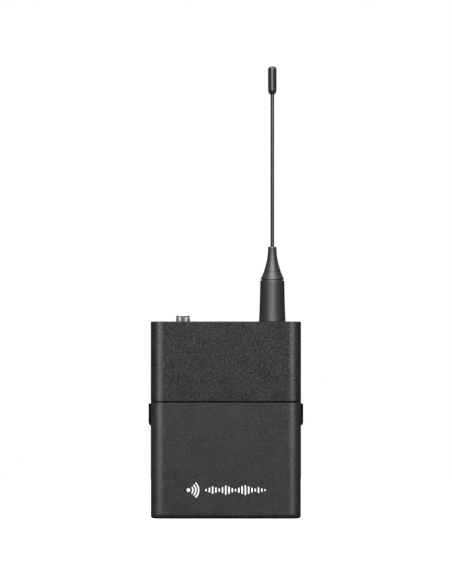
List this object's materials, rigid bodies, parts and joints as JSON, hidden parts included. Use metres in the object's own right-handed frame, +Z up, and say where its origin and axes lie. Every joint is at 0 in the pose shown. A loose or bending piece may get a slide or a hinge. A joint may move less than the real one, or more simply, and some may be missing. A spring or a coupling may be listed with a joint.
{
  "type": "wireless bodypack transmitter",
  "caption": "Pocket radio transmitter for a body-worn microphone, with a flexible whip antenna, threaded jack, hinged battery door, side catches and a wire belt clip.",
  "frame": {"origin": "on the housing's bottom face, at half the housing's width and half its depth", "axes": "+Z up along the antenna, +X to the right seen from the front, and the front with the battery door faces -Y"},
  "size_m": [0.0658, 0.0274, 0.1928],
  "materials": {
    "housing_plastic": "fine-grained moulded anthracite plastic",
    "catch_plastic": "smooth dark moulded plastic",
    "chassis_plastic": "plain black moulded plastic",
    "antenna_rubber": "satin black elastomer",
    "whip_lacquer": "glossy black coating",
    "jack_chrome": "bright plated thread",
    "spring_steel": "bright spring and contact steel",
    "contact_brass": "turned brass",
    "clip_steel": "black coated spring wire and screws",
    "cell_wrap": "printed sleeve of a plain AA cell",
    "circuit_board": "solder-masked circuit board",
    "component_black": "moulded electronic component",
    "shield_tin": "tinned shielding can",
    "red_lens": "tinted lamp window",
    "green_lens": "tinted lamp window",
    "lamp_body": "milky lamp body",
    "key_grey": "grey key",
    "key_red": "red key",
    "label_foil": "blank rating label"
  },
  "bodies": {
    "housing": {"rear_shell": "housing_plastic", "front_cover": "housing_plastic", "top_panel": "housing_plastic", "rear_screw_1": "clip_steel", "rear_screw_2": "clip_steel", "rear_screw_3": "clip_steel", "rear_screw_4": "clip_steel", "rear_label": "label_foil", "hinge_pin_right": "spring_steel", "hinge_pin_left": "spring_steel", "chassis": "chassis_plastic", "battery_left": "cell_wrap", "battery_right": "cell_wrap", "battery_spring_left": "spring_steel", "battery_spring_right": "spring_steel", "contact_bridge": "spring_steel", "contact_plate_left": "spring_steel", "contact_plate_right": "spring_steel", "main_board": "circuit_board", "rf_shield": "shield_tin", "transmitter_chip": "component_black", "crystal": "spring_steel", "tact_switch_left": "component_black", "tact_switch_right": "component_black", "mute_switch_body": "component_black", "link_lamp_window": "green_lens", "data_lamp_window": "red_lens", "link_lamp": "lamp_body", "data_lamp": "lamp_body", "jack_body": "component_black", "jack_collar": "jack_chrome", "jack_nut": "contact_brass", "jack_tip_contact": "contact_brass", "antenna_bushing": "contact_brass", "antenna_core": "spring_steel", "antenna_sleeve": "antenna_rubber", "antenna_boot": "antenna_rubber"},
    "battery_door": {"battery_door": "housing_plastic", "catch_spring_left": "spring_steel", "catch_spring_right": "spring_steel"},
    "left_catch": {"catch_left": "catch_plastic"},
    "right_catch": {"catch_right": "catch_plastic"},
    "mute_knob": {"mute_knob": "key_grey"},
    "on_off_button": {"on_off_button": "key_red"},
    "sync_button": {"sync_button": "key_grey"},
    "belt_clip": {"belt_clip": "clip_steel"},
    "whip": {"antenna_rod": "whip_lacquer", "antenna_tip": "whip_lacquer"}
  },
  "joints": [
    {"name": "door_hinge", "type": "hinge", "parent": "housing", "child": "battery_door", "pos_m": [0, -0.0076, 0.0024], "axis": [1, 0, 0], "range_deg": [0, 90]},
    {"name": "left_catch_press", "type": "slide", "parent": "battery_door", "child": "left_catch", "axis": [1, 0, 0], "range_m": [0, 0.0009], "stiffness_N_per_m": 1500, "springref_m": -0.001},
    {"name": "right_catch_press", "type": "slide", "parent": "battery_door", "child": "right_catch", "axis": [-1, 0, 0], "range_m": [0, 0.0009], "stiffness_N_per_m": 1500, "springref_m": -0.001},
    {"name": "mute_slide", "type": "slide", "parent": "housing", "child": "mute_knob", "axis": [1, 0, 0], "range_m": [0, 0.003]},
    {"name": "on_off_press", "type": "slide", "parent": "housing", "child": "on_off_button", "axis": [0, 1, 0], "range_m": [0, 0.0004], "stiffness_N_per_m": 2500, "springref_m": -0.0004},
    {"name": "sync_press", "type": "slide", "parent": "housing", "child": "sync_button", "axis": [0, 1, 0], "range_m": [0, 0.0004], "stiffness_N_per_m": 2500, "springref_m": -0.0004},
    {"name": "clip_hinge", "type": "hinge", "parent": "housing", "child": "belt_clip", "pos_m": [0, 0.0132, 0.071], "axis": [1, 0, 0], "range_deg": [0, 12], "stiffness_Nm_per_rad": 1, "springref_deg": -8.59},
    {"name": "whip_flex", "type": "hinge", "parent": "housing", "child": "whip", "pos_m": [0.0198, 0, 0.1168], "axis": [1, 0, 0], "range_deg": [-30, 30], "stiffness_Nm_per_rad": 0.03}
  ]
}
